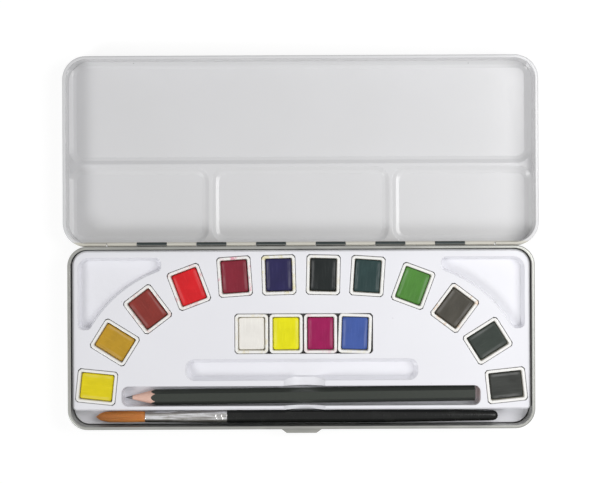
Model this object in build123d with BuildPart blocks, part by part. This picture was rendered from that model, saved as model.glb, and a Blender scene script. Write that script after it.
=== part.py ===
from build123d import *
from math import atan, cos, degrees, pi, radians, sin, sqrt
import os

os.makedirs("parts", exist_ok=True)

# Watercolour paint tin, modelled open and lying flat. Millimetres.
# Origin: middle of the base's underside. +X right, +Y to the hinge, +Z up.

# Base tin
base_length = 225.4
base_depth = 88.4
base_height = 13.5
base_corner = 9.5
base_sheet = 0.5
base_bead = 1.5
base_foot_chamfer = 0.5
bead_chamfer = 0.45

# Hinge: a wire pin behind the base's rim, its height such that the lid's panel
# comes down to the table when it is laid right back
pin_y = base_depth / 2 + 0.9
pin_z = base_height - 2.2
pin_radius = 0.6
pin_clearance = 0.05
knuckle_sheet = 0.45
knuckle_count = 13
knuckle_pitch = 14.4
knuckle_gap = 0.2
knuckle_length = knuckle_pitch - knuckle_gap
knuckle_bore = pin_radius + pin_clearance
knuckle_radius = knuckle_bore + knuckle_sheet
hinge_length = knuckle_count * knuckle_pitch

# Lid
lid_clearance = 0.35
lid_sheet = 0.45
lid_bead = 1.6
lid_side_clearance = 0.75
lid_length = base_length + 2 * (lid_side_clearance + lid_bead)
lid_depth = base_depth + 2 * (lid_clearance + lid_bead)
lid_height = pin_z + lid_bead / 2
lid_corner = 11.5
lid_edge_chamfer = 1.8
lid_bead_chamfer = 0.5
lid_y = 2 * pin_y
ridge_height = 1.8
ridge_top = 1.4
ridge_flare = 2.6
ridge_y = 83.8
ridge_x = 44.2
well_corner = 4.5
well_foot_chamfer = 0.9

# Thumb lip on the front wall, clear below the closed lid's rim
lip_root = 24
lip_edge = 14.4
lip_reach = base_depth / 2 + 2.2
lip_sheet = 0.7
lip_top = 2 * pin_z - lid_height - 0.4

# Tray
tray_clearance = 0.4
tray_sheet = 1.0
tray_length = base_length - 2 * (base_bead + tray_clearance)
tray_depth = base_depth - 2 * (base_bead + tray_clearance)
tray_corner = base_corner - base_bead - tray_clearance
tray_top = 11.6
tray_skirt = 2.0
tray_under = base_sheet + 0.05
tray_edge_chamfer = 0.8

# Half pans, the standard 19 x 16 x 10.5 size
pan_long = 19
pan_wide = 16
pan_height = 10.5
pan_rim = 1.45
pan_rim_height = 1.6
pan_rim_lip = 0.5
pan_floor = 1.0
pan_draft = 0.4
pan_corner_cut = 1.1
pan_cavity_cut = 0.7
pan_clearance = 0.25
pan_seat = 0.05
paint_gap = 0.03
paint_drop = 1.2
socket_floor = tray_under + tray_sheet
socket_cut = 1.1

# Places on the tray are laid out on one 221.6 x 84.6, and spread with its length and depth
spread_x = tray_length / 221.6
spread_y = tray_depth / 84.6

# Fan of pans, right half: middle of each pan and the turn of its long side
layout = [(10.75, 30.2, 1.5), (32.1, 29.5, 4), (54.2, 24.6, 20.5)]
layout += [(74.2, 13.9, 37), (90.1, -2.1, 58), (99.0, -23.6, 84)]
fan = [(x * spread_x, y * spread_y, turn) for x, y, turn in layout]

# Middle row
row_x = 1.0
row_y = 1.8 * spread_y
row_gap = 0.65
row_pitch = pan_wide + row_gap
row_slack = 0.95
loose_pan_turn = 2

# Pencil groove, oblong well, finger scoop and brush shelf
groove_left = -87.0 * spread_x
groove_right = 86.6 * spread_x
groove_y = -28.3 * spread_y
groove_width = 9.6
groove_corner = 3.2
groove_chamfer = 0.7
groove_floor = 4.0
oblong_x = 0.2
oblong_y = -15.6 * spread_y
oblong_length = 112.6
oblong_width = 10.4
oblong_depth = 4.6
scoop_x = 1.5
scoop_half = 10
scoop_depth = 4.5
shelf_wall_gap = 0.15
shelf_z = 5.0
shelf_sheet = 1.4
shelf_dish = 0.4
shelf_dish_radius = 12

# Corner wells: two straight sides and a hollow side that follows the fan
corner_x = tray_length / 2 - 2.8
corner_y = tray_depth / 2 - 3.6
corner_inner_x = 67.6 * spread_x
corner_inner_y = 4.0 * spread_y
corner_arc_x = 48.2 * spread_x
corner_arc_y = -26.3 * spread_y
corner_arc_radius = 62 * min(spread_x, spread_y)
corner_tip = 2.7
corner_round = 5.5
corner_depth = 4.6

# Pencil
pencil_flats = 6.5
pencil_tip = groove_left + 1.0
pencil_cone = 15.1
pencil_end = groove_right - 2.4
pencil_lead_length = 3.7
pencil_y = groove_y - 0.15
pencil_turn = 0.5

# Brush, set from the tin's front and side walls
brush_radius = 3.25
brush_wall_gap = 0.95
brush_hair_length = 24.55
ferrule_length = 39.75
brush_y = -(base_depth / 2 - base_bead - brush_wall_gap - brush_radius)
brush_tip = -(base_length / 2 - base_bead - 10.8)
brush_mouth = brush_tip + brush_hair_length
brush_joint = brush_mouth + ferrule_length
brush_end = base_length / 2 - base_bead - 15.8
shelf_y = brush_y + brush_radius + shelf_wall_gap
brush_taper = 57
brush_end_radius = 2.4
brush_end_cut = 2.0
ferrule_radius = 3.1
ferrule_sheet = 0.3
ferrule_plug = 14
hair_count = 300
tuft_round = 8.5
tuft_lean = 0.5


def base_outline(inset):
    size_x = base_length - 2 * inset
    size_y = base_depth - 2 * inset
    return RectangleRounded(size_x, size_y, base_corner - inset)


def lid_outline(inset):
    size_x = lid_length - 2 * inset
    size_y = lid_depth - 2 * inset
    with Locations((0, lid_y)):
        return RectangleRounded(size_x, size_y, lid_corner - inset)


def cut_rectangle(size_x, size_y, cut):
    x = size_x / 2
    y = size_y / 2
    corners = [(x, y - cut), (x - cut, y), (cut - x, y), (-x, y - cut)]
    corners += [(-px, -py) for px, py in corners]
    return Polygon(*corners, align=None)


def knuckle_planes(first):
    return [
        Plane.YZ.offset((i - knuckle_count / 2 + 0.5) * knuckle_pitch - knuckle_length / 2)
        for i in range(first, knuckle_count, 2)
    ]


def save(builder, name):
    builder.part.label = name
    export_step(builder.part, "parts/" + name + ".step")


# Base tin: the rim is an outward curl standing proud of the wall
with BuildPart() as base_rim:
    with BuildSketch(Plane.XY.offset(base_height - base_bead)):
        base_outline(0)
    extrude(amount=base_bead)
    chamfer(base_rim.faces().filter_by(Axis.Z).edges(), bead_chamfer)

with BuildPart() as base_hollow:
    with BuildSketch(Plane.XY.offset(base_sheet)):
        base_outline(base_bead)
    extrude(amount=base_height)

with BuildPart() as base_tin:
    with BuildSketch():
        base_outline(base_bead - base_sheet)
    extrude(amount=base_height)
    chamfer(base_tin.faces().sort_by(Axis.Z)[0].edges(), base_foot_chamfer)
    add(base_rim.part)
    add(base_hollow.part, mode=Mode.SUBTRACT)

    # Knuckles rolled from short leaves that leave the wall under the rim
    leaf_start = base_depth / 2 - base_bead + base_sheet / 2
    with BuildSketch(*knuckle_planes(1)):
        with Locations((pin_y, pin_z)):
            Circle(knuckle_radius)
        with Locations((leaf_start, pin_z - knuckle_radius)):
            Rectangle(pin_y - leaf_start, knuckle_sheet, align=(Align.MIN, Align.MIN))
    extrude(amount=knuckle_length)
    with BuildSketch(Plane.YZ.offset(-hinge_length / 2)):
        with Locations((pin_y, pin_z)):
            Circle(knuckle_bore)
    extrude(amount=hinge_length, mode=Mode.SUBTRACT)

    # Thumb lip: a flat tab let into the front wall
    lip_start = -(base_depth / 2 - base_bead + base_sheet / 2)
    with BuildSketch(Plane.XY.offset(lip_top - lip_sheet)) as lip:
        with BuildLine():
            Polyline(
                (-lip_root / 2, lip_start),
                (lip_root / 2, lip_start),
                (lip_edge / 2, -lip_reach),
                (-lip_edge / 2, -lip_reach),
                close=True,
            )
        make_face()
        fillet(lip.vertices().group_by(Axis.Y)[0], 1.2)
    extrude(amount=lip_sheet)

save(base_tin, "base_tin")

# Hinge pin
with BuildPart() as hinge_pin:
    with BuildSketch(Plane.YZ.offset(-hinge_length / 2)):
        with Locations((pin_y, pin_z)):
            Circle(pin_radius)
    extrude(amount=hinge_length)

save(hinge_pin, "hinge_pin")

# Lid wells: four shallow dishes whose flared sides leave thin ridges between them
ridge_foot = ridge_top / 2 + ridge_flare
well_left = -(lid_length / 2 - lid_bead - ridge_flare)
well_rear = lid_y + lid_depth / 2 - lid_bead - ridge_flare
well_front = lid_y - lid_depth / 2 + lid_bead + ridge_flare
well_taper = -degrees(atan(ridge_flare / ridge_height))


def lid_wells():
    spans = [(well_left, -well_left, ridge_y + ridge_foot, well_rear)]
    spans += [(well_left, -ridge_x - ridge_foot, well_front, ridge_y - ridge_foot)]
    spans += [(-ridge_x + ridge_foot, ridge_x - ridge_foot, well_front, ridge_y - ridge_foot)]
    spans += [(ridge_x + ridge_foot, -well_left, well_front, ridge_y - ridge_foot)]
    for x0, x1, y0, y1 in spans:
        with Locations(((x0 + x1) / 2, (y0 + y1) / 2)):
            RectangleRounded(x1 - x0, y1 - y0, well_corner)


with BuildPart() as well_dishes:
    with BuildSketch(Plane.XY.offset(lid_sheet)):
        lid_wells()
    extrude(amount=ridge_height, taper=well_taper)
    chamfer(well_dishes.edges().group_by(Axis.Z)[0], well_foot_chamfer)

with BuildPart() as lid_inside:
    with BuildSketch(Plane.XY.offset(lid_sheet + ridge_height)):
        lid_outline(lid_bead)
    extrude(amount=lid_height)
    add(well_dishes.part)
    with BuildSketch(Plane.XY):
        lid_outline(lid_bead)
    extrude(amount=lid_height, mode=Mode.INTERSECT)

# The ridges are pressed up from the sheet, so each has a groove behind it
back_width = 2 * ridge_foot - 0.5
back_slope = degrees(atan(ridge_height / ridge_flare))
back_end = -well_left - 1

with BuildPart() as ridge_backs:
    with BuildSketch(Plane.YZ.offset(-back_end)):
        with Locations((ridge_y, 0)):
            Trapezoid(back_width, ridge_height, back_slope, align=(Align.CENTER, Align.MIN))
    extrude(amount=2 * back_end)
    with BuildSketch(Plane.XZ.offset(-ridge_y)):
        with Locations((-ridge_x, 0), (ridge_x, 0)):
            Trapezoid(back_width, ridge_height, back_slope, align=(Align.CENTER, Align.MIN))
    extrude(amount=ridge_y - well_front - 1)

with BuildPart() as lid_rim:
    with BuildSketch(Plane.XY.offset(lid_height - lid_bead)):
        lid_outline(0)
    extrude(amount=lid_bead)
    chamfer(lid_rim.faces().filter_by(Axis.Z).edges(), lid_bead_chamfer)
    # No curl behind the hinge
    with Locations((0, lid_y - lid_depth / 2, lid_height)):
        Box(hinge_length + 0.8, 2 * (lid_bead - lid_sheet), 3 * lid_bead, mode=Mode.SUBTRACT)

# Lid
with BuildPart() as lid:
    with BuildSketch():
        lid_outline(lid_bead - lid_sheet)
    extrude(amount=lid_height)
    chamfer(lid.faces().sort_by(Axis.Z)[0].edges(), lid_edge_chamfer)
    add(lid_rim.part)
    add(lid_inside.part, mode=Mode.SUBTRACT)
    add(ridge_backs.part, mode=Mode.SUBTRACT)
    # The rear wall stops short of the pin, and is notched round each base knuckle
    wall_y = lid_y - lid_depth / 2 + lid_bead
    with Locations((0, wall_y - 0.7, pin_z - 0.4)):
        Box(hinge_length + 0.8, 1.6, 3, align=(Align.CENTER, Align.CENTER, Align.MIN), mode=Mode.SUBTRACT)
    with BuildSketch(*[p.offset(-knuckle_gap / 2) for p in knuckle_planes(1)]):
        with Locations((wall_y, pin_z - knuckle_radius - 0.3)):
            Rectangle(2, 3, align=(Align.CENTER, Align.MIN))
    extrude(amount=knuckle_pitch + knuckle_gap / 2, mode=Mode.SUBTRACT)
    with BuildSketch(*knuckle_planes(0)):
        with Locations((pin_y, pin_z)):
            Circle(knuckle_radius)
    extrude(amount=knuckle_length)
    with BuildSketch(Plane.YZ.offset(-hinge_length / 2)):
        with Locations((pin_y, pin_z)):
            Circle(knuckle_bore)
    extrude(amount=hinge_length, mode=Mode.SUBTRACT)

save(lid, "lid")


# Tray pockets, each drawn once and used for its hollow and, grown, for its shell
def fan_locations():
    right = [Location((x, y, 0), (0, 0, -turn)) for x, y, turn in fan]
    left = [Location((-x, y, 0), (0, 0, turn)) for x, y, turn in reversed(fan)]
    return left + right


def row_locations():
    spots = [row_x + (i - 1.5) * row_pitch for i in range(4)]
    turns = [0, 0, 0, -loose_pan_turn]
    return [Location((x, row_y, 0), (0, 0, turn)) for x, turn in zip(spots, turns)]


def sockets(grow):
    size_x = pan_wide + 2 * (pan_clearance + grow)
    size_y = pan_long + 2 * (pan_clearance + grow)
    with Locations(*fan_locations()):
        cut_rectangle(size_x, size_y, socket_cut)
    with Locations((row_x + 0.2, row_y)):
        cut_rectangle(3 * row_pitch + pan_wide + row_slack + 2 * grow, size_y, socket_cut)


def groove(grow):
    with Locations(((groove_left + groove_right) / 2, groove_y)):
        size_x = groove_right - groove_left + 2 * grow
        RectangleRounded(size_x, groove_width + 2 * grow, groove_corner + grow)


def oblong(grow):
    with Locations((oblong_x, oblong_y)):
        RectangleRounded(oblong_length + 2 * grow, oblong_width + 2 * grow, oblong_width / 2 - 0.7 + grow)


def corner_face(grow):
    with BuildSketch(mode=Mode.PRIVATE) as face:
        low = (corner_inner_x - grow, corner_inner_y - grow)
        with Locations(low):
            size_x = corner_x - corner_inner_x + 2 * grow
            size_y = corner_y - corner_inner_y + 2 * grow
            Rectangle(size_x, size_y, align=(Align.MIN, Align.MIN))
        with Locations((corner_arc_x, corner_arc_y)):
            Circle(corner_arc_radius - grow, mode=Mode.SUBTRACT)
        far = face.vertices().sort_by_distance((2 * corner_x, 2 * corner_y))[0]
        fillet(far, corner_round + grow)
        near = face.vertices().filter_by(lambda v: v.Y < corner_inner_y + 1 or v.X < corner_inner_x + 1)
        fillet(near, corner_tip + grow / 2)
    return face.sketch


def corner_wells(grow):
    right = corner_face(grow)
    add(right)
    add(mirror(right, about=Plane.YZ, mode=Mode.PRIVATE))


scoop_radius = (scoop_half ** 2 + scoop_depth ** 2) / (2 * scoop_depth)
scoop_back = oblong_y - oblong_width / 2 + 1.5


def scoop(grow):
    plane = Plane(origin=(scoop_x, scoop_back, tray_top), x_dir=(1, 0, 0), z_dir=(0, -1, 0))
    with BuildSketch(plane, mode=Mode.PRIVATE) as face:
        with Locations((0, scoop_radius - scoop_depth)):
            Circle(scoop_radius + grow)
    return extrude(face.sketch, amount=scoop_back - shelf_y + 1, mode=Mode.PRIVATE)


# Tray outside, with the front stepped down to a shelf for the brush
with BuildPart() as tray_block:
    with BuildSketch(Plane.XY.offset(tray_under)):
        RectangleRounded(tray_length, tray_depth, tray_corner)
    extrude(amount=shelf_z - tray_under)
    with BuildSketch(Plane.XY.offset(shelf_z)) as plateau:
        with Locations((0, tray_depth / 2)):
            Rectangle(tray_length, tray_depth / 2 - shelf_y, align=(Align.CENTER, Align.MAX))
        fillet(plateau.vertices().group_by(Axis.Y)[-1], tray_corner)
        fillet(plateau.vertices().group_by(Axis.Y)[0], 2.0)
    extrude(amount=tray_top - shelf_z)
    chamfer(tray_block.faces().sort_by(Axis.Z)[-1].edges(), tray_edge_chamfer)
    with BuildSketch(Plane.YZ.offset(-tray_length / 2 - 1)):
        with Locations((brush_y, shelf_z - shelf_dish + shelf_dish_radius)):
            Circle(shelf_dish_radius)
        with Locations((shelf_y + 0.05, shelf_z - 1)):
            Rectangle(20, 40, align=(Align.MIN, Align.MIN), mode=Mode.SUBTRACT)
    extrude(amount=tray_length + 2, mode=Mode.SUBTRACT)

# Room under the tray's skin: everything but the pockets' own shells
with BuildPart() as tray_hollow:
    inner_length = tray_length - 2 * tray_sheet
    inner_depth = tray_depth - 2 * tray_sheet
    with BuildSketch(Plane.XY.offset(-1)):
        Rectangle(tray_length + 2, tray_depth + 2)
    extrude(amount=tray_skirt + 1)
    with BuildSketch(Plane.XY.offset(tray_skirt)):
        RectangleRounded(inner_length, inner_depth, tray_corner - tray_sheet)
    extrude(amount=shelf_z - shelf_sheet - tray_skirt)
    with BuildSketch(Plane.XY.offset(tray_skirt)):
        RectangleRounded(inner_length, inner_depth, tray_corner - tray_sheet)
        with Locations((0, shelf_y + tray_sheet)):
            Rectangle(tray_length, 20, align=(Align.CENTER, Align.MAX), mode=Mode.SUBTRACT)
    extrude(amount=tray_top - tray_sheet - tray_skirt)
    with BuildSketch(Plane.XY.offset(-1)):
        sockets(tray_sheet)
    extrude(amount=tray_top + 1, mode=Mode.SUBTRACT)
    with BuildSketch(Plane.XY.offset(groove_floor - tray_sheet)):
        groove(tray_sheet)
    extrude(amount=tray_top, mode=Mode.SUBTRACT)
    with BuildSketch(Plane.XY.offset(tray_top - oblong_depth - tray_sheet)):
        oblong(tray_sheet)
    extrude(amount=tray_top, mode=Mode.SUBTRACT)
    with BuildSketch(Plane.XY.offset(tray_top - corner_depth - tray_sheet)):
        corner_wells(tray_sheet)
    extrude(amount=tray_top, mode=Mode.SUBTRACT)
    add(scoop(tray_sheet), mode=Mode.SUBTRACT)

# Well cutters with sloping sides
with BuildPart() as oblong_cut:
    with BuildSketch(Plane.XY.offset(tray_top)):
        oblong(0)
    extrude(amount=-oblong_depth, taper=22)

with BuildPart() as corner_cut:
    with BuildSketch(Plane.XY.offset(tray_top)):
        corner_wells(0)
    extrude(amount=-corner_depth, taper=15)

with BuildPart() as groove_cut:
    with BuildSketch(Plane.XY.offset(groove_floor)):
        groove(0)
    extrude(amount=tray_top)
    chamfer(groove_cut.edges().group_by(Axis.Z)[0], groove_chamfer)

# Tray
with BuildPart() as tray:
    add(tray_block.part)
    add(tray_hollow.part, mode=Mode.SUBTRACT)
    with BuildSketch(Plane.XY.offset(socket_floor)):
        sockets(0)
    extrude(amount=tray_top, mode=Mode.SUBTRACT)
    add(oblong_cut.part, mode=Mode.SUBTRACT)
    add(corner_cut.part, mode=Mode.SUBTRACT)
    add(groove_cut.part, mode=Mode.SUBTRACT)
    add(scoop(0), mode=Mode.SUBTRACT)

save(tray, "tray")

# Half pan and its cake of paint, drawn at the origin and set in every place. The body
# tapers below a straight rim that stands out all round it
cavity_wide = pan_wide - 2 * pan_rim
cavity_long = pan_long - 2 * pan_rim
pan_body_top = pan_height - pan_rim_height
body_wide = pan_wide - 2 * pan_rim_lip
body_long = pan_long - 2 * pan_rim_lip

with BuildPart() as pan_shape:
    far_wide = body_wide - pan_draft
    far_long = body_long - pan_draft
    with Locations((0, 0, pan_body_top / 2)):
        Wedge(
            body_wide,
            pan_body_top,
            body_long,
            pan_draft,
            pan_draft,
            far_wide,
            far_long,
            rotation=(-90, 0, 0),
        )
    with BuildSketch(Plane.XY.offset(pan_body_top)):
        cut_rectangle(pan_wide, pan_long, pan_corner_cut)
    extrude(amount=pan_rim_height)
    with BuildSketch(Plane.XY.offset(pan_floor)):
        cut_rectangle(cavity_wide, cavity_long, pan_cavity_cut)
    extrude(amount=pan_height, mode=Mode.SUBTRACT)

with BuildPart() as paint_shape:
    with BuildSketch(Plane.XY.offset(pan_floor + paint_gap)):
        cut_rectangle(cavity_wide - 2 * paint_gap, cavity_long - 2 * paint_gap, pan_cavity_cut)
    extrude(amount=pan_height - paint_drop - pan_floor - paint_gap)

for index, place in enumerate(fan_locations() + row_locations(), start=1):
    seat = Location((0, 0, socket_floor + pan_seat)) * place
    with BuildPart() as pan:
        with Locations(seat):
            add(pan_shape.part)
    save(pan, "pan_%02d" % index)
    with BuildPart() as paint:
        with Locations(seat):
            add(paint_shape.part)
    save(paint, "paint_%02d" % index)

# Pencil, lying on one flat in the groove
pencil_z = groove_floor + pencil_flats / 2 + pan_seat
pencil_corners = pencil_flats / cos(radians(30))
cone_slope = pencil_corners / 2 / pencil_cone
lead_radius = pencil_lead_length * cone_slope
pencil_place = Location((0, pencil_y, pencil_z), (0, 0, pencil_turn))

with BuildPart() as casing_shape:
    with BuildSketch(Plane.YZ.offset(pencil_tip)):
        RegularPolygon(pencil_corners / 2, 6)
        Circle(lead_radius + 0.02, mode=Mode.SUBTRACT)
    extrude(amount=pencil_end - pencil_tip)
    with BuildSketch(Plane.XZ):
        with BuildLine():
            Polyline(
                (pencil_tip, 0),
                (pencil_end, (pencil_end - pencil_tip) * cone_slope),
                (pencil_end + 1, (pencil_end - pencil_tip) * cone_slope),
                (pencil_end + 1, 0),
                close=True,
            )
        make_face()
    revolve(axis=Axis.X, mode=Mode.INTERSECT)

with BuildPart() as lead_shape:
    with BuildSketch(Plane.XZ):
        with BuildLine():
            Polyline(
                (pencil_tip + 0.4, 0),
                (pencil_tip + 0.4, 0.4 * cone_slope),
                (pencil_tip + pencil_lead_length, lead_radius),
                (pencil_end, lead_radius),
                (pencil_end, 0),
                close=True,
            )
        make_face()
    revolve(axis=Axis.X)

with BuildPart() as pencil_casing:
    with Locations(pencil_place):
        add(casing_shape.part)

with BuildPart() as pencil_lead:
    with Locations(pencil_place):
        add(lead_shape.part)

save(pencil_casing, "pencil_casing")
save(pencil_lead, "pencil_lead")

# Brush, lying in the dished shelf
brush_z = shelf_z - shelf_dish + brush_radius + pan_seat
brush_plane = Plane(origin=(0, brush_y, brush_z), x_dir=(1, 0, 0), z_dir=(0, -1, 0))
brush_axis = Axis((0, brush_y, brush_z), (1, 0, 0))
ferrule_bore = ferrule_radius - ferrule_sheet
plug_end = brush_joint - ferrule_plug

with BuildPart() as brush_handle:
    with BuildSketch(brush_plane):
        with BuildLine():
            Polyline(
                (brush_end, 0),
                (plug_end, 0),
                (plug_end, ferrule_bore - 0.05),
                (brush_joint, ferrule_bore - 0.05),
                (brush_joint, brush_radius),
                (brush_end - brush_taper, brush_radius),
                (brush_end - brush_end_cut, brush_end_radius),
                (brush_end, brush_end_radius - brush_end_cut / 2),
                (brush_end, 0),
            )
        make_face()
    revolve(axis=brush_axis)

save(brush_handle, "brush_handle")

with BuildPart() as brush_ferrule:
    with BuildSketch(brush_plane):
        with Locations((brush_mouth, ferrule_bore)):
            Rectangle(brush_joint - brush_mouth, ferrule_sheet, align=(Align.MIN, Align.MIN))
    revolve(axis=brush_axis)

save(brush_ferrule, "brush_ferrule")

# Hair: slim three-sided spikes on a sunflower spiral. The outer ones end first and the
# inner ones lean in, so they draw together and never cross
hair_root = brush_mouth + 0.4
tuft_radius = ferrule_bore - 0.2
hair_size = 0.8 * tuft_radius / sqrt(hair_count)
golden_turn = pi * (3 - sqrt(5))


def strand(number):
    spread = sqrt((number + 0.5) / hair_count)
    turn = number * golden_turn
    tip_x = brush_tip + tuft_round * spread ** 2
    tip_reach = spread * (1 - tuft_lean * (1 - spread ** 2)) * tuft_radius
    point = Vector(tip_x, brush_y + tip_reach * cos(turn), brush_z + tip_reach * sin(turn))
    reach = spread * tuft_radius
    middle = Vector(hair_root, brush_y + reach * cos(turn), brush_z + reach * sin(turn))
    angles = [turn + k * 2 * pi / 3 for k in range(3)]
    root = [middle + Vector(0, hair_size * cos(a), hair_size * sin(a)) for a in angles]
    outlines = [root]
    for k in range(3):
        outlines.append([root[k], root[(k + 1) % 3], point])
    return Solid(Shell([Face(Wire.make_polygon(outline)) for outline in outlines]))


with BuildPart() as brush_bristles:
    with BuildSketch(Plane(origin=(brush_mouth + 0.2, brush_y, brush_z), x_dir=(0, 1, 0), z_dir=(1, 0, 0))):
        Circle(ferrule_bore - 0.05)
    extrude(amount=4)
    add([strand(number) for number in range(hair_count)])

save(brush_bristles, "brush_bristles")
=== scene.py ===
import math

import bmesh
import bpy
from mathutils import Matrix, Vector, noise


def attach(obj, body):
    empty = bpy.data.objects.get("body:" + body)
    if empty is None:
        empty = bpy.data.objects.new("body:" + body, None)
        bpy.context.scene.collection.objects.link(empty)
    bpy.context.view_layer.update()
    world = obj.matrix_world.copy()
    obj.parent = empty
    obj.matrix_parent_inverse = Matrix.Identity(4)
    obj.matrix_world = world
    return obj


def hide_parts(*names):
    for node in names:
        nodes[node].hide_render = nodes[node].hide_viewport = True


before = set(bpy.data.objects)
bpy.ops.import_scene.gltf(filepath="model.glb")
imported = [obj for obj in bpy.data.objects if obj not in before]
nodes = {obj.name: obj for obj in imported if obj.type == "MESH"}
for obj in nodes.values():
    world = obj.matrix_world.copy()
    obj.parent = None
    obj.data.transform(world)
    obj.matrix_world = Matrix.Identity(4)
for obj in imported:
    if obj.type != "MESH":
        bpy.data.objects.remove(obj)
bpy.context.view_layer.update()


# Camera: straight down over the hinge line, as the photograph was taken.
# The tin lies a quarter of a degree askew in the frame.
MM = 0.001

camera_data = bpy.data.cameras.new("camera")
camera_data.lens = 79.7
camera_data.sensor_width = 36.0
camera_data.clip_start = 0.01
camera_data.clip_end = 10.0
camera = bpy.data.objects.new("camera", camera_data)
camera.location = (-0.41 * MM, 46.06 * MM, 653.5 * MM)
camera.rotation_euler = (0.0, 0.0, math.radians(-0.25))
bpy.context.scene.collection.objects.link(camera)
bpy.context.scene.camera = camera
bpy.context.scene.view_settings.view_transform = "Standard"


# Light: a large window to the lower left, a small lamp over the right side and a pale room.
# The room shows pure white only to the camera and to reflections.
def area_light(name, place, target, size, power):
    data = bpy.data.lights.new(name, "AREA")
    data.shape = "RECTANGLE"
    data.size = size
    data.size_y = size
    data.energy = power
    lamp = bpy.data.objects.new(name, data)
    lamp.location = place
    lamp.rotation_euler = (Vector(target) - Vector(place)).to_track_quat("-Z", "Y").to_euler()
    bpy.context.scene.collection.objects.link(lamp)


def seen_directly(tree):
    # 1 for the camera and for mirror images, 0 where a surface gathers light
    path = tree.nodes.new("ShaderNodeLightPath")
    seen = path.outputs["Is Camera Ray"]
    for ray in ("Is Glossy Ray", "Is Transmission Ray"):
        either = tree.nodes.new("ShaderNodeMath")
        either.operation = "MAXIMUM"
        tree.links.new(seen, either.inputs[0])
        tree.links.new(path.outputs[ray], either.inputs[1])
        seen = either.outputs[0]
    return seen


area_light("window", place=(-1.5, -1.15, 1.7), target=(0.0, 0.05, 0.0), size=0.8, power=23.0)
area_light("ceiling", place=(0.33, 0.1, 0.42), target=(0.1, 0.06, 0.0), size=0.3, power=1.28)

world = bpy.data.worlds.new("room")
bpy.context.scene.world = world
world.use_nodes = True
tree = world.node_tree
tree.nodes.clear()
level = tree.nodes.new("ShaderNodeMapRange")
level.inputs["To Min"].default_value = 0.51
level.inputs["To Max"].default_value = 1.0
tree.links.new(seen_directly(tree), level.inputs["Value"])
backdrop = tree.nodes.new("ShaderNodeBackground")
tree.links.new(level.outputs[0], backdrop.inputs["Strength"])
room_end = tree.nodes.new("ShaderNodeOutputWorld")
tree.links.new(backdrop.outputs[0], room_end.inputs["Surface"])


# Floor: plain white paper under the tin.
# To the camera it glows near white, with a trace of the tin's shadow left in it.
floor_reach, floor_drop = 3.0, 0.0002
floor_mesh = bpy.data.meshes.new("floor")
sides = ((-1, -1), (1, -1), (1, 1), (-1, 1))
floor_corners = [(floor_reach * x, floor_reach * y, 0) for x, y in sides]
floor_mesh.from_pydata(floor_corners, [], [(0, 1, 2, 3)])
floor = bpy.data.objects.new("floor", floor_mesh)
bpy.context.scene.collection.objects.link(floor)
floor.location.z = -floor_drop

paper = bpy.data.materials.new("paper")
paper.use_nodes = True
tree = paper.node_tree
tree.nodes.clear()
white_paper = tree.nodes.new("ShaderNodeBsdfDiffuse")
white_paper.inputs["Color"].default_value = (0.84, 0.84, 0.845, 1.0)
shaded = tree.nodes.new("ShaderNodeBsdfDiffuse")
shaded.inputs["Color"].default_value = (0.24, 0.24, 0.24, 1.0)
glow = tree.nodes.new("ShaderNodeEmission")
glow.inputs["Strength"].default_value = 0.82
lit_paper = tree.nodes.new("ShaderNodeAddShader")
tree.links.new(shaded.outputs[0], lit_paper.inputs[0])
tree.links.new(glow.outputs[0], lit_paper.inputs[1])
pick = tree.nodes.new("ShaderNodeMixShader")
tree.links.new(seen_directly(tree), pick.inputs[0])
tree.links.new(white_paper.outputs[0], pick.inputs[1])
tree.links.new(lit_paper.outputs[0], pick.inputs[2])
paper_end = tree.nodes.new("ShaderNodeOutputMaterial")
tree.links.new(pick.outputs[0], paper_end.inputs["Surface"])
floor_mesh.materials.append(paper)


# Base tin: tinplate pressed in one piece, its rim curled outward and the knuckles rolled.
# Bare metal, drawn lines along the walls, dulled where fingers open it, and painted dark along the
# hinge as painted shade for its slots.
class Socket:
    def __init__(self, finish, out):
        self.finish, self.out = finish, out

    def __add__(self, other):
        return self.finish.math("ADD", self, other)

    def __radd__(self, other):
        return self.finish.math("ADD", other, self)

    def __sub__(self, other):
        return self.finish.math("SUBTRACT", self, other)

    def __rsub__(self, other):
        return self.finish.math("SUBTRACT", other, self)

    def __mul__(self, other):
        return self.finish.math("MULTIPLY", self, other)

    def __rmul__(self, other):
        return self.finish.math("MULTIPLY", other, self)

    def __abs__(self):
        return self.finish.math("ABSOLUTE", self)

    def __lt__(self, other):
        return self.finish.math("LESS_THAN", self, other)


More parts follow.
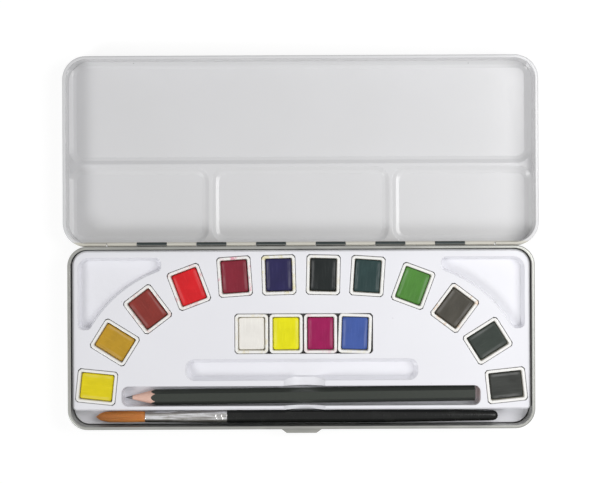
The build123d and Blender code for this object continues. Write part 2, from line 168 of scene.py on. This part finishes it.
class Finish:
    def __init__(self, name):
        self.data = bpy.data.materials.new(name)
        self.data.use_nodes = True
        self.tree = self.data.node_tree
        self.tree.nodes.clear()
        place = self.node("ShaderNodeTexCoord", out="Object")
        in_mm = {0: place, "Scale": 1 / MM}
        self.point = self.node("ShaderNodeVectorMath", {"operation": "SCALE"}, in_mm)
        self.x, self.y, self.z = self.split(self.point)

    def node(self, kind, settings=None, sockets=None, out=0):
        made = self.tree.nodes.new(kind)
        for key, value in (settings or {}).items():
            setattr(made, key, value)
        for key, value in (sockets or {}).items():
            self.put(made.inputs[key], value)
        return Socket(self, made.outputs[out])

    def put(self, target, value):
        if isinstance(value, Socket):
            self.tree.links.new(value.out, target)
        elif target.type == "RGBA":
            target.default_value = (*value, 1.0)
        else:
            target.default_value = value

    def math(self, kind, *values):
        return self.node("ShaderNodeMath", {"operation": kind}, dict(enumerate(values)))

    def split(self, vector):
        outs = self.node("ShaderNodeSeparateXYZ", sockets={0: vector}).out.node.outputs
        return Socket(self, outs[0]), Socket(self, outs[1]), Socket(self, outs[2])

    def vector(self, x, y, z):
        return self.node("ShaderNodeCombineXYZ", sockets={0: x, 1: y, 2: z})

    def normal(self):
        return self.split(self.node("ShaderNodeNewGeometry", out="Normal"))

    def mix(self, factor, a, b):
        made = self.tree.nodes.new("ShaderNodeMix")
        made.data_type = "RGBA"
        self.put(made.inputs[0], factor)
        self.put(made.inputs[6], a)
        self.put(made.inputs[7], b)
        return Socket(self, made.outputs[2])

    def ramp(self, value, low, high, start=0.0, end=1.0):
        sockets = {0: value, 1: low, 2: high, 3: start, 4: end}
        return self.node("ShaderNodeMapRange", {"interpolation_type": "SMOOTHSTEP"}, sockets)

    def noise(self, scale, detail=3.0, rough=0.5, vector=None):
        sockets = {"Vector": vector or self.point, "Scale": scale, "Detail": detail}
        return self.node("ShaderNodeTexNoise", sockets={**sockets, "Roughness": rough})

    def grain(self, x, y, z, detail=3.0, rough=0.5):
        # Noise drawn out along the axes, with so many waves to the millimetre in each
        drawn_out = self.vector(self.x * x, self.y * y, self.z * z)
        return self.noise(1.0, detail, rough, drawn_out)

    def specks(self, scale, size, share):
        # Round dots in a share of the cells of a Voronoi pattern
        cells = {"Vector": self.point, "Scale": scale}
        middle = self.node("ShaderNodeTexVoronoi", sockets=cells, out="Distance")
        draw = self.split(self.node("ShaderNodeTexVoronoi", sockets=cells, out="Color"))[0]
        return (draw < share) * self.ramp(middle, size, size * 0.5)

    def rounded_box(self, centre_y, half_x, half_y, corner):
        # Signed distance to a rounded rectangle in plan, negative inside
        past_x = abs(self.x) - (half_x - corner)
        past_y = abs(self.y - centre_y) - (half_y - corner)
        out_x = self.math("MAXIMUM", past_x, 0.0)
        out_y = self.math("MAXIMUM", past_y, 0.0)
        outside = self.math("SQRT", out_x * out_x + out_y * out_y)
        inside = self.math("MINIMUM", self.math("MAXIMUM", past_x, past_y), 0.0)
        return outside + inside - corner

    def surface(self, color, rough, metallic, bump, bump_mm, soften=0.0, **fixed):
        # soften rounds the look of every sharp edge by that radius in millimetres
        made = self.tree.nodes.new("ShaderNodeBsdfPrincipled")
        self.put(made.inputs["Base Color"], color)
        self.put(made.inputs["Roughness"], rough)
        self.put(made.inputs["Metallic"], metallic)
        for key, value in fixed.items():
            self.put(made.inputs[key.replace("_", " ")], value)
        sockets = {"Height": bump, "Distance": bump_mm * MM, "Strength": 1.0}
        if soften:
            radius = {"Radius": soften * MM}
            sockets["Normal"] = self.node("ShaderNodeBevel", {"samples": 6}, radius)
        self.put(made.inputs["Normal"], self.node("ShaderNodeBump", sockets=sockets))
        end = self.tree.nodes.new("ShaderNodeOutputMaterial")
        self.tree.links.new(made.outputs[0], end.inputs["Surface"])
        return self.data


def linear(red, green, blue):
    def one(value):
        value /= 255.0
        return value / 12.92 if value <= 0.04045 else ((value + 0.055) / 1.055) ** 2.4
    return one(red), one(green), one(blue)


def dress(name, material):
    mesh = nodes[name].data
    mesh.materials.clear()
    mesh.materials.append(material)


def tinplate(m):
    drawn = m.grain(0.05, 0.05, 9.0, detail=4.0, rough=0.6)
    cloud = m.noise(0.06)
    scratch = m.grain(0.08, 6.0, 3.0, detail=2.0)
    tone = m.mix(cloud, linear(146, 147, 143), linear(178, 178, 173))
    tone = m.mix(m.ramp(scratch, 0.66, 0.74), tone, linear(196, 198, 194))
    rough = 0.26 + cloud * 0.1 + drawn * 0.1
    return tone, rough, drawn + scratch * 0.6


m = Finish("tinplate")
tone, rough, lines = tinplate(m)
lip = m.rounded_box(centre_y=-44.0, half_x=18.0, half_y=3.0, corner=3.0)
thumbed = m.ramp(lip, 2.0, -2.0)
# Painted shade: the strip over the knuckles is painted dark and a little rougher, standing in for
# the shade in the hinge's slots.
painted_hinge_shade = m.ramp(m.y, 44.75, 44.95)
tone = m.mix(thumbed * 0.35, tone, linear(128, 127, 122))
tone = m.mix(painted_hinge_shade, tone, linear(66, 72, 72))
rough = rough + thumbed * 0.12 + painted_hinge_shade * 0.15
dress("base_tin", m.surface(tone, rough, metallic=1.0, bump=lines, bump_mm=0.006, soften=0.5))


# Hinge pin: plain drawn steel wire, pushed through all thirteen knuckles.
# Only its ends show, with the fine rings that the drawing left.
m = Finish("wire")
rings = m.grain(0.2, 4.0, 4.0, detail=2.0)
tone = m.mix(rings, linear(120, 120, 122), linear(160, 160, 163))
rough = 0.3 + rings * 0.15
dress("hinge_pin", m.surface(tone, rough, metallic=1.0, bump=rings, bump_mm=0.01))


# Lid: the same tinplate, with white stoved enamel over its whole inside and its curled rim.
# The enamel has a faint orange peel, fine pits and specks, and is creamy along the knuckles.
# The outside is left bare.
m = Finish("lid_enamel")
tone, rough, lines = tinplate(m)
mid_wall = m.rounded_box(centre_y=90.2, half_x=113.7, half_y=44.85, corner=10.1)
facing_up = m.ramp(m.normal()[2], -0.12, -0.02)
rim = m.ramp(m.z, 10.3, 10.5)
coated = m.math("MAXIMUM", m.ramp(mid_wall, 0.12, 0.02) * facing_up, rim)
bare = 1.0 - coated
peel = m.noise(0.9, detail=2.0, rough=0.4)
pits = m.specks(0.75, 0.13, share=0.05)
grit = m.specks(0.11, 0.035, share=0.10)
knuckles = m.ramp(m.y, 46.4, 46.1)
white = m.mix(m.noise(0.025, detail=2.0), linear(216, 216, 217), linear(221, 221, 223))
white = m.mix(pits * 0.3, white, linear(190, 191, 192))
white = m.mix(knuckles, white, linear(206, 203, 192))
white = m.mix(grit * 0.75, white, linear(96, 92, 92))
tone = m.mix(coated, tone, white)
rough = coated * (0.16 + m.noise(0.15) * 0.06) + bare * rough
height = coated * (peel * 0.6 - pits * 0.8) + bare * lines
enamel = m.surface(tone, rough, metallic=bare, bump=height, bump_mm=0.01, soften=0.5,
                   Coat_Roughness=0.06, Coat_Weight=0.3)
dress("lid", enamel)


# Tray: one thin vacuum-formed sheet of glossy white plastic, soft at every bend.
# Faint flow marks from the forming and a little dust lie over it.
m = Finish("tray_plastic")
flow = m.noise(0.035, rough=0.55)
wave = m.noise(0.25, detail=2.0)
dust = m.specks(0.16, 0.05, share=0.12)
tone = m.mix(flow, linear(235, 235, 240), linear(240, 240, 245))
tone = m.mix(dust * 0.5, tone, linear(150, 148, 150))
rough = 0.2 + flow * 0.06 + dust * 0.2
plastic = m.surface(tone, rough, metallic=0.0, bump=wave + dust * 0.3, bump_mm=0.015, soften=0.5,
                    Coat_Weight=0.2, Coat_Roughness=0.1)
dress("tray", plastic)


# Half pans: thin moulded cups of white plastic with a rounded rim, pressed into their sockets.
# Some keep a little colour on the rim, where a loaded brush was wiped.
def piece(name, mesh, body, slot, material, stands_for):
    made = bpy.data.objects.new(name, mesh)
    bpy.context.scene.collection.objects.link(made)
    mesh.materials.clear()
    mesh.materials.append(material)
    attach(made, body)
    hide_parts(stands_for)


# Each pan's middle and its turn: twelve in a fan, then four side by side
fan = [(10.75, 30.2, 1.5), (32.1, 29.5, 4), (54.2, 24.6, 20.5)]
fan += [(74.2, 13.9, 37), (90.1, -2.1, 58), (99.0, -23.6, 84)]
row_middle_x, row_y, row_pitch = 1.0, 1.8, 16.65
row_turns = (0, 0, 0, -2)
places = [(-x, y, turn) for x, y, turn in reversed(fan)]
places += [(x, y, -turn) for x, y, turn in fan]
places += [(row_middle_x + (i - 1.5) * row_pitch, row_y, turn) for i, turn in enumerate(row_turns)]

paints = {
    "yellow": (232, 214, 36), "ochre": (196, 154, 50), "brick": (142, 60, 54),
    "red": (222, 42, 48), "crimson": (134, 44, 58), "indigo": (47, 44, 84),
    "black": (36, 40, 40), "teal": (48, 68, 68), "green": (82, 136, 60),
    "umber": (78, 75, 68), "moss": (56, 63, 58), "soot": (60, 62, 59),
    "white": (241, 238, 232), "lemon": (238, 232, 34), "magenta": (160, 34, 90),
    "blue": (72, 96, 166),
}

# How much of a pan's rim is stained, and with what
wiped = {
    3: (0.5, (222, 150, 140)), 4: (0.5, (226, 120, 130)), 5: (0.75, (228, 120, 150)),
    6: (0.6, (232, 220, 150)), 7: (0.3, (236, 226, 190)), 10: (0.6, (222, 178, 130)),
    13: (0.45, (236, 222, 170)), 15: (0.55, (238, 200, 208)), 16: (0.35, (240, 232, 190)),
}

# Each ring of the cup: how far in from the rim's outside, and how high
cup_outside = [(1.2, 0.0), (0.95, 0.08), (0.87, 0.3), (0.54, 8.6), (0.5, 8.82), (0.4, 8.9)]
cup_rim = [
    (0.12, 8.9), (0.03, 8.95), (0.0, 9.05), (0.0, 10.1), (0.04, 10.28), (0.14, 10.41),
    (0.28, 10.48), (0.42, 10.5), (0.92, 10.5), (1.06, 10.48), (1.2, 10.41), (1.3, 10.28),
]
cup_inside = [(1.34, 10.1), (1.5, 9.2), (1.62, 8.4), (1.78, 1.5), (2.0, 1.1), (2.4, 1.0)]
cup_seat_z, cup_half_across, cup_half_along = 1.6, 8.0, 9.5
cup_corner, cup_least_corner = 1.9, 0.7


def rounded_ring(half_x, half_y, corner, steps=7):
    ring = []
    for quarter, (sx, sy) in enumerate(((1, 1), (-1, 1), (-1, -1), (1, -1))):
        for step in range(steps + 1):
            angle = math.radians(90 * (quarter + step / steps))
            x = sx * (half_x - corner) + corner * math.cos(angle)
            ring.append((x, sy * (half_y - corner) + corner * math.sin(angle)))
    return ring


def finished_mesh(bm, name):
    # Side faces are smooth, end faces flat
    for face in bm.faces:
        face.smooth = len(face.verts) == 4
    mesh = bpy.data.meshes.new(name)
    bm.to_mesh(mesh)
    bm.free()
    return mesh


def cup_mesh(number, place):
    x, y, turn = place
    seat = Matrix.Translation((x, y, cup_seat_z)) @ Matrix.Rotation(math.radians(turn), 4, "Z")
    bm = bmesh.new()
    loops = []
    for inset, z in cup_outside + cup_rim + cup_inside:
        corner = max(cup_corner - inset, cup_least_corner)
        ring = rounded_ring(cup_half_across - inset, cup_half_along - inset, corner)
        loops.append([bm.verts.new(MM * (seat @ Vector((u, v, z)))) for u, v in ring])
    for low, high in zip(loops, loops[1:]):
        for k in range(len(low)):
            n = (k + 1) % len(low)
            bm.faces.new((low[k], low[n], high[n], high[k]))
    bm.faces.new(loops[0][::-1])
    bm.faces.new(loops[-1])
    return finished_mesh(bm, "cup_%02d" % number)


def across_and_along(m, place):
    # The point in a pan's own plan axes
    x, y, turn = place
    c, s = math.cos(math.radians(turn)), math.sin(math.radians(turn))
    return (m.x - x) * c + (m.y - y) * s, (m.y - y) * c - (m.x - x) * s


def cup_finish(number, place):
    m = Finish("cup_%02d" % number)
    u, v = across_and_along(m, place)
    soft = m.noise(0.3, detail=2.0)
    tone = m.mix(soft, linear(243, 242, 239), linear(247, 246, 243))
    # Painted shade: the walls and the mouth's inner slope are painted a darker cream than the rim
    painted_shade_below_rim = m.ramp(m.z, 12.0, 10.6)
    tone = m.mix(painted_shade_below_rim, tone, linear(234, 229, 214))
    if number in wiped:
        share, stain = wiped[number]
        brushed = m.vector(u * 0.3 + number * 7.3, v * 0.22, m.z * 0.3)
        smear = m.ramp(m.noise(1.0, 4.0, 0.65, brushed), 0.5, 0.66)
        near_rim = m.ramp(m.z, 9.2, 10.8, 0.2, 1.0)
        tone = m.mix(smear * near_rim * share, tone, linear(*stain))
    return m.surface(tone, 0.22 + soft * 0.08, 0.0, bump=soft, bump_mm=0.01, Coat_Weight=0.15)


for number, place in enumerate(places, start=1):
    body = "pan_%02d" % number
    finish = cup_finish(number, place)
    piece("cup_%02d" % number, cup_mesh(number, place), body, "pan_plastic", finish, body)


# Cakes of paint: pressed gum colour, set a little loose in the pan as it dried and shrank.
# Edges rounded and glossy, the top faintly hollow, with long streaks from wet brushing in its
# relief, and paler streaks and bands painted on as highlights.
cake_half_u, cake_half_v, cake_corner, cake_edge = 6.25, 7.75, 1.05, 0.62
cake_top_z, cake_foot_z, cake_foot_share = 10.98, 2.66, 0.972
cake_swirl, cake_stroke, cake_hollow = 0.12, 0.045, 0.10
cake_across, cake_along = 44, 54


def crowded(step, steps):
    # From -1 to 1, with the steps closer together towards both ends
    even = 2 * step / steps - 1
    return math.sin(even * math.pi / 2) * 0.6 + even * 0.4


def cake_point(number, a, b):
    u, v = a * cake_half_u, b * cake_half_v
    straight_u, straight_v = cake_half_u - cake_corner, cake_half_v - cake_corner
    du, dv = abs(u) - straight_u, abs(v) - straight_v
    edge = min(cake_half_u - abs(u), cake_half_v - abs(v))
    if du > 0 and dv > 0:
        drawn_in = max(du, dv) / math.hypot(du, dv)
        u = math.copysign(straight_u + du * drawn_in, u)
        v = math.copysign(straight_v + dv * drawn_in, v)
    seed = number * 13.7
    swirl = noise.noise(Vector((u * 0.2 + seed, v * 0.12, 0.3)))
    stroke = noise.noise(Vector((u * 1.1 + swirl * 1.5 + seed, v * 0.1, 4.0)))
    z = cake_top_z + cake_swirl * swirl + cake_stroke * stroke
    z -= cake_hollow * (1 - a * a) * (1 - b * b)
    if edge < cake_edge:
        z -= cake_edge * (1 - math.sqrt(max(0.0, 1 - (1 - edge / cake_edge) ** 2)))
    return u, v, z


def cake_mesh(number, place):
    x, y, turn = place
    slip_u, slip_v, skew = [noise.noise(Vector((number * 3.7, k * 5.1, 0.5))) for k in range(3)]
    turned = Matrix.Rotation(math.radians(turn + 0.8 * skew), 4, "Z")
    seat = Matrix.Translation((x, y, 0)) @ turned
    slip = Vector((0.16 * slip_u, 0.16 * slip_v, 0))
    bm = bmesh.new()
    top = []
    for j in range(cake_along + 1):
        row = []
        for i in range(cake_across + 1):
            spot = cake_point(number, crowded(i, cake_across), crowded(j, cake_along))
            row.append(bm.verts.new(MM * (seat @ (Vector(spot) + slip))))
        top.append(row)
    for front, back in zip(top, top[1:]):
        for i in range(cake_across):
            bm.faces.new((front[i], front[i + 1], back[i + 1], back[i]))
    # The walls drop from the top's outline and draw in a little towards the foot
    outline = top[0][:] + [row[-1] for row in top[1:]]
    outline += top[-1][-2::-1] + [row[0] for row in top[-2:0:-1]]
    middle, share = Vector((x * MM, y * MM)), cake_foot_share
    foot = [bm.verts.new((*middle.lerp(v.co.xy, share), cake_foot_z * MM)) for v in outline]
    for k in range(len(outline)):
        n = (k + 1) % len(outline)
        bm.faces.new((outline[n], outline[k], foot[k], foot[n]))
    bm.faces.new(foot[::-1])
    bmesh.ops.recalc_face_normals(bm, faces=bm.faces)
    return finished_mesh(bm, "cake_%02d" % number)


def cake_finish(number, name, place):
    m = Finish("dry_" + name)
    u, v = across_and_along(m, place)
    offset = number * 31.0
    streak = m.noise(1.0, 4.0, 0.6, m.vector(u * 1.5 + offset, v * 0.11, 0.0))
    patch = m.noise(0.16, vector=m.vector(m.x + offset, m.y, m.z))
    paint = tuple(max(channel - 0.012, 0.003) for channel in linear(*paints[name]))
    # A dark paint dries in deeper patches than a light one
    light = sum(paint) / 3
    deep = tuple(channel * (0.84 + 0.14 * light) for channel in paint)
    pale = tuple(min(1.0, channel * 1.15 + 0.012) for channel in paint)
    # dry is the paler tone of the painted highlight bands below
    dry = tuple(channel + (0.8 - channel) * 0.11 for channel in paint)
    tone = m.mix(m.ramp(patch, 0.3, 0.7), deep, paint)
    # Painted highlight: paler streaks along the length; the same streaks also raise and roughen
    # the surface
    tone = m.mix(m.ramp(streak, 0.5, 0.8) * 0.6, tone, pale)
    # Two soft bands beside the long walls are painted paler, as painted highlights
    painted_highlight_bands = m.ramp(abs(u), 4.0, 5.1) * m.ramp(abs(u), 6.0, 5.3) * m.ramp(abs(v), 7.4, 5.5)
    tone = m.mix(painted_highlight_bands * m.ramp(streak, 0.3, 0.6), tone, dry)
    rough = 0.26 + m.ramp(streak, 0.35, 0.7) * 0.16 + patch * 0.1
    return m.surface(tone, rough, 0.0, bump=streak, bump_mm=0.03, Specular_IOR_Level=0.3)


for number, (name, place) in enumerate(zip(paints, places), start=1):
    body, cake = "pan_%02d" % number, cake_mesh(number, place)
    finish = cake_finish(number, name, place)
    piece("cake_%02d" % number, cake, body, "paint_" + name, finish, "paint_%02d" % number)


# Pencil: cedar casing lacquered a dark grey-green, cut back to bare wood and lead at the point.
# The lacquer has fine paler flecks, and the cut shows the grain of the wood.
pencil_turn = math.radians(0.5)
m = Finish("pencil_casing")
normal_x, normal_y, _ = m.normal()
facing_along = normal_x * math.cos(pencil_turn) + normal_y * math.sin(pencil_turn)
cut = m.ramp(abs(facing_along), 0.06, 0.12)
grain = m.grain(0.12, 3.0, 3.0, detail=4.0, rough=0.6)
wood = m.mix(grain, linear(214, 170, 152), linear(236, 200, 184))
fleck = m.grain(0.6, 2.0, 2.0)
lacquer = m.mix(fleck, linear(45, 50, 45), linear(56, 60, 54))
lacquer = m.mix(m.ramp(fleck, 0.68, 0.78) * 0.4, lacquer, linear(72, 76, 69))
tone = m.mix(cut, lacquer, wood)
rough = cut * 0.62 + (1.0 - cut) * (0.34 + fleck * 0.1)
height = cut * grain + fleck * 0.2
casing = m.surface(tone, rough, 0.0, bump=height, bump_mm=0.03, soften=0.3,
                   Specular_IOR_Level=0.35)
dress("pencil_casing", casing)

m = Finish("graphite")
streak = m.grain(0.4, 5.0, 5.0, rough=0.6)
tone = m.mix(streak, linear(96, 96, 98), linear(132, 132, 136))
rough = 0.35 + streak * 0.2
dress("pencil_lead", m.surface(tone, rough, metallic=0.25, bump=streak, bump_mm=0.02))


# Brush handle: turned wood under many coats of black lacquer, with light handling marks.
# It is full at the ferrule, draws in over its last third and ends in a small round.
brush_y, brush_z = -38.5, 7.9
ferrule_end = -36.1


def turned_mesh(name, profile, tube=False, sides=56):
    # A solid of revolution about the brush's axis; a tube's profile runs out and back
    bm = bmesh.new()
    rings = []
    for x, radius in profile:
        ring = []
        for k in range(sides):
            angle = 2 * math.pi * k / sides
            y, z = brush_y + radius * math.cos(angle), brush_z + radius * math.sin(angle)
            ring.append(bm.verts.new(MM * Vector((x, y, z))))
        rings.append(ring)
    following = rings[1:] + rings[:1] if tube else rings[1:]
    for low, high in zip(rings, following):
        for k in range(sides):
            n = (k + 1) % sides
            bm.faces.new((low[k], low[n], high[n], high[k]))
    if not tube:
        bm.faces.new(rings[0])
        bm.faces.new(rings[-1][::-1])
    bmesh.ops.recalc_face_normals(bm, faces=bm.faces)
    return finished_mesh(bm, name)


tenon = [(-50.1, 2.55), (-50.0, 2.7), (-36.3, 2.7), (ferrule_end, 2.75)]
shoulder = [(ferrule_end, 3.05), (-35.95, 3.2), (-35.75, 3.25)]
full_radius, draw_in, taper_start, taper_length = 3.25, 0.85, 38.4, 54.6
taper = []
for step in range(25):
    share = step / 24
    taper.append((taper_start + taper_length * share, full_radius - draw_in * share ** 1.25))
round_start, round_length, round_radius, blunt_radius = 93.0, 2.4, 2.4, 0.25
end_round = []
for step in range(1, 9):
    angle = math.radians(90 * step / 8)
    radius = max(round_radius * math.cos(angle), blunt_radius)
    end_round.append((round_start + round_length * math.sin(angle), radius))

m = Finish("black_lacquer")
wear = m.noise(0.12, detail=4.0, rough=0.6)
rubbed = m.grain(2.2, 0.7, 0.7)
tone = m.mix(m.ramp(wear, 0.5, 0.8), linear(20, 21, 20), linear(32, 33, 31))
rough = 0.16 + m.ramp(rubbed, 0.45, 0.8) * 0.16
finish = m.surface(tone, rough, 0.0, bump=rubbed, bump_mm=0.008, Specular_IOR_Level=0.3)
handle = turned_mesh("handle", tenon + shoulder + taper + end_round)
piece("handle", handle, "brush", "black_lacquer", finish, "brush_handle")


# Brush ferrule: seamless nickel-plated tube, drawn in towards the hair.
# It is crimped twice onto the handle, and its mouth is rolled over the hair.
ferrule_mouth, cone_start, cone_length = -75.85, -75.1, 33.0
mouth_radius, cone_rise, crimped_radius = 2.74, 0.46, 3.25
crimp_profile = [
    (-0.42, 0.0), (-0.28, 0.05), (-0.12, 0.15), (0.0, 0.18),
    (0.12, 0.15), (0.28, 0.05), (0.42, 0.0),
]
outside = [(ferrule_mouth, 2.62), (-75.75, 2.72), (-75.5, 2.76), (cone_start, mouth_radius)]
for step in range(1, 17):
    share = step / 16
    outside.append((cone_start + cone_length * share, mouth_radius + cone_rise * share))
for crimp in (-41.3, -38.5):
    outside += [(crimp + offset, crimped_radius - depth) for offset, depth in crimp_profile]
outside += [(-36.5, 3.27), (-36.2, 3.25), (ferrule_end, 3.18)]
inside = [(ferrule_end, 2.9), (-37.2, 2.88), (-50.0, 2.76), (-74.8, 2.5), (ferrule_mouth, 2.5)]

m = Finish("ferrule_metal")
turned = m.grain(7.0, 0.2, 0.2)
tarnish = m.noise(0.25)
# Painted reflection: dark streaks along the length, standing in for darker surroundings mirrored
# in the metal
painted_reflection_streaks = m.grain(0.05, 1.3, 0.5, rough=0.55)
tone = m.mix(m.ramp(tarnish, 0.4, 0.75), linear(226, 226, 228), linear(196, 194, 190))
tone = m.mix(m.ramp(painted_reflection_streaks, 0.42, 0.6), linear(150, 147, 143), tone)
rough = 0.13 + turned * 0.08 + tarnish * 0.06
finish = m.surface(tone, rough, metallic=1.0, bump=turned, bump_mm=0.004)
ferrule = turned_mesh("ferrule", outside + inside, tube=True)
piece("ferrule", ferrule, "brush", "ferrule_metal", finish, "brush_ferrule")


# Brush head: a round of soft red-brown hair bound in the ferrule and drawn to a point.
# Each hair is an instance on a sunflower spiral, then all are shaped by one profile along it.
def tuft_group():
    group = bpy.data.node_groups.new("hair_tuft", "GeometryNodeTree")
    face = group.interface
    face.new_socket("Geometry", in_out="OUTPUT", socket_type="NodeSocketGeometry")
    for name, kind, value in (
        ("Hairs", "NodeSocketInt", 1500),
        ("Head radius", "NodeSocketFloat", 2.45 * MM),
        ("Head length", "NodeSocketFloat", 25.1 * MM),
        ("Root radius", "NodeSocketFloat", 0.06 * MM),
        ("Tip radius", "NodeSocketFloat", 0.012 * MM),
        ("Sway", "NodeSocketFloat", 0.5 * MM),
        ("Seed", "NodeSocketInt", 7),
    ):
        face.new_socket(name, in_out="INPUT", socket_type=kind).default_value = value
    face.new_socket("Material", in_out="INPUT", socket_type="NodeSocketMaterial")
    given = group.nodes.new("NodeGroupInput").outputs

    def add(kind, sockets=None, settings=None, out=0):
        made = group.nodes.new(kind)
        for key, value in (settings or {}).items():
            setattr(made, key, value)
        for key, value in (sockets or {}).items():
            if isinstance(value, bpy.types.NodeSocket):
                group.links.new(value, made.inputs[key])
            else:
                made.inputs[key].default_value = value
        return made.outputs[out]

    def calc(kind, a, b=0.0):
        return add("ShaderNodeMath", {0: a, 1: b}, {"operation": kind})

    def vector(x=0.0, y=0.0, z=0.0):
        return add("ShaderNodeCombineXYZ", {0: x, 1: y, 2: z})

    def vector_math(kind, sockets):
        return add("ShaderNodeVectorMath", sockets, {"operation": kind})

    # Roots on a sunflower spiral, from the middle of the head outwards
    index = add("GeometryNodeInputIndex")
    share = calc("DIVIDE", calc("ADD", index, 0.5), given["Hairs"])
    reach = calc("MULTIPLY", calc("SQRT", share), given["Head radius"])
    turn = calc("MULTIPLY", index, math.pi * (3 - math.sqrt(5)))
    root_x = calc("MULTIPLY", reach, calc("COSINE", turn))
    root_y = calc("MULTIPLY", reach, calc("SINE", turn))
    roots = add("GeometryNodePoints", {0: given["Hairs"], 1: vector(root_x, root_y)})

    # One tapered hair at each root, the outer ones a little shorter
    hair = add("GeometryNodeMeshCone", {
        "Vertices": 4, "Side Segments": 9, "Fill Segments": 1, "Radius Top": given["Tip radius"],
        "Radius Bottom": given["Root radius"], "Depth": given["Head length"],
    })
    length_range = {2: 0.93, 3: 1.0, "Seed": given["Seed"]}
    uneven = add("FunctionNodeRandomValue", length_range, {"data_type": "FLOAT"}, out=1)
    trim = calc("SUBTRACT", uneven, calc("MULTIPLY", share, 0.07))
    planted = add("GeometryNodeInstanceOnPoints", {
        "Points": roots, "Instance": hair,
        "Rotation": vector(z=turn), "Scale": vector(1.0, 1.0, trim),
    })
    hairs = add("GeometryNodeRealizeInstances", {"Geometry": planted})

    # All hairs swell from the ferrule and close to a point, and sway a little at their ends
    here = add("GeometryNodeInputPosition")
    x, y, z = add("ShaderNodeSeparateXYZ", {0: here}).node.outputs
    along = calc("DIVIDE", z, given["Head length"])
    curve = group.nodes.new("ShaderNodeFloatCurve")
    group.links.new(along, curve.inputs["Value"])
    line = curve.mapping.curves[0]
    line.points[0].location = (0.0, 0.98)
    line.points[1].location = (1.0, 0.04)
    for at, width in ((0.15, 1.05), (0.45, 1.1), (0.7, 1.06), (0.84, 0.86), (0.94, 0.5)):
        line.points.new(at, width)
    curve.mapping.clip_max_y = 1.2
    curve.mapping.update()
    width = curve.outputs[0]
    waves = {"Vector": here, "Scale": 260.0, "Detail": 1.0}
    drift = add("ShaderNodeTexNoise", waves, {"noise_dimensions": "3D"}, out=1)
    sway = vector_math("SUBTRACT", {0: drift, 1: (0.5, 0.5, 0.5)})
    sway = vector_math("SCALE", {0: sway, "Scale": calc("MULTIPLY", along, given["Sway"])})
    gathered = vector(calc("MULTIPLY", x, width), calc("MULTIPLY", y, width), z)
    gathered = vector_math("ADD", {0: gathered, 1: sway})
    shaped = add("GeometryNodeSetPosition", {"Geometry": hairs, "Position": gathered})
    smooth = add("GeometryNodeSetShadeSmooth", {"Geometry": shaped})
    painted = add("GeometryNodeSetMaterial", {"Geometry": smooth, "Material": given["Material"]})
    end = group.nodes.new("NodeGroupOutput")
    group.links.new(painted, end.inputs[0])
    return group


def grown(name, group, values):
    # The group's result as a plain mesh
    carrier = bpy.data.objects.new(name + "_carrier", bpy.data.meshes.new(name + "_carrier"))
    bpy.context.scene.collection.objects.link(carrier)
    modifier = carrier.modifiers.new("build", "NODES")
    modifier.node_group = group
    for item in group.interface.items_tree:
        if item.in_out == "INPUT" and item.name in values:
            modifier[item.identifier] = values[item.name]
    bpy.context.view_layer.update()
    shown = carrier.evaluated_get(bpy.context.evaluated_depsgraph_get())
    mesh = bpy.data.meshes.new_from_object(shown)
    bpy.data.objects.remove(carrier)
    mesh.name = name
    return mesh


m = Finish("hair")
strand = m.grain(0.12, 9.0, 9.0, rough=0.6)
near_root = m.ramp(m.x, -100.0, -78.0)
tone = m.mix(m.ramp(strand, 0.3, 0.7), linear(206, 119, 42), linear(240, 166, 80))
tone = m.mix((1.0 - near_root) * 0.3, tone, linear(214, 144, 70))
rough = 0.4 + strand * 0.15
hair_finish = m.surface(tone, rough, 0.0, bump=strand, bump_mm=0.01, Sheen_Weight=0.2)

hair_root_x = -75.3
tuft = grown("brush_head", tuft_group(), {"Material": hair_finish})
root = Matrix.Translation((hair_root_x * MM, brush_y * MM, brush_z * MM))
tuft.transform(root @ Matrix.Rotation(math.radians(-90), 4, "Y"))
piece("brush_head", tuft, "brush", "hair", hair_finish, "brush_bristles")
